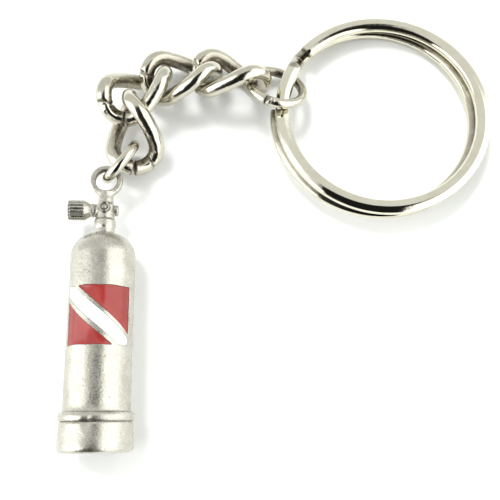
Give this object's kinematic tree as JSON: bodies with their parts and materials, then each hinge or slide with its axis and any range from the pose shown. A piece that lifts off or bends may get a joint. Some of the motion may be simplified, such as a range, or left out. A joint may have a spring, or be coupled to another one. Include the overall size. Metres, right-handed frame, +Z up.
{
  "type": "key ring",
  "caption": "Cast pewter scuba-tank charm with an enamelled dive flag, hung from a split key ring by jump rings and a short twisted curb chain.",
  "frame": {"origin": "bottom centre of the bounding box of the whole key ring, on the surface it lies on", "axes": "+Y along the tank from its boot to its hanging eye, +X across from the tank towards the split ring, +Z up from the surface"},
  "size_m": [0.0583, 0.0612, 0.0096],
  "materials": {
    "tank_casting": "satin cast pewter",
    "flag_red_upper": "glossy red enamel",
    "flag_red_lower": "glossy red enamel",
    "flag_white_stripe": "glossy white enamel",
    "charm_jump_ring": "polished nickel plate",
    "curb_link_1": "polished nickel plate",
    "curb_link_2": "polished nickel plate",
    "curb_link_3": "polished nickel plate",
    "curb_link_4": "polished nickel plate",
    "end_jump_ring": "polished nickel plate",
    "split_ring": "polished nickel plate"
  },
  "bodies": {
    "charm": {"tank_casting": "tank_casting", "flag_red_upper": "flag_red_upper", "flag_red_lower": "flag_red_lower", "flag_white_stripe": "flag_white_stripe"},
    "charm_ring": {"charm_jump_ring": "charm_jump_ring"},
    "link_1": {"curb_link_1": "curb_link_1"},
    "link_2": {"curb_link_2": "curb_link_2"},
    "link_3": {"curb_link_3": "curb_link_3"},
    "link_4": {"curb_link_4": "curb_link_4"},
    "end_ring": {"end_jump_ring": "end_jump_ring"},
    "key_ring": {"split_ring": "split_ring"}
  },
  "joints": [
    {"name": "charm_ring_swing", "type": "hinge", "parent": "charm", "child": "charm_ring", "pos_m": [-0.02422, 0.00682, 0.00388], "axis": [-0.9962, -0.0091, 0.0871], "range_deg": [-25, 35]},
    {"name": "link_1_swing", "type": "hinge", "parent": "charm_ring", "child": "link_1", "pos_m": [-0.02255, 0.00957, 0.00102], "axis": [0.6647, 0.6439, 0.3789], "range_deg": [-25, 50]},
    {"name": "link_2_swing", "type": "hinge", "parent": "link_1", "child": "link_2", "pos_m": [-0.02316, 0.01397, 0.00177], "axis": [-0.3207, -0.9415, 0.1032], "range_deg": [-15, 2]},
    {"name": "link_3_swing", "type": "hinge", "parent": "link_2", "child": "link_3", "pos_m": [-0.01668, 0.02111, 0.00375], "axis": [-0.1573, 0.2134, -0.9642], "range_deg": [-60, 4]},
    {"name": "link_4_swing", "type": "hinge", "parent": "link_3", "child": "link_4", "pos_m": [-0.01195, 0.01926, 0.00621], "axis": [0.7672, 0.6065, 0.2089], "range_deg": [-3, 24]},
    {"name": "end_ring_swing", "type": "hinge", "parent": "link_4", "child": "end_ring", "pos_m": [-0.00484, 0.01956, 0.00689], "axis": [0.9138, 0.3704, -0.1667], "range_deg": [-2, 24]},
    {"name": "key_ring_swing", "type": "hinge", "parent": "end_ring", "child": "key_ring", "pos_m": [0.00153, 0.02135, 0.00166], "axis": [-0.7345, 0.6534, -0.1832], "range_deg": [-60, 1]}
  ]
}
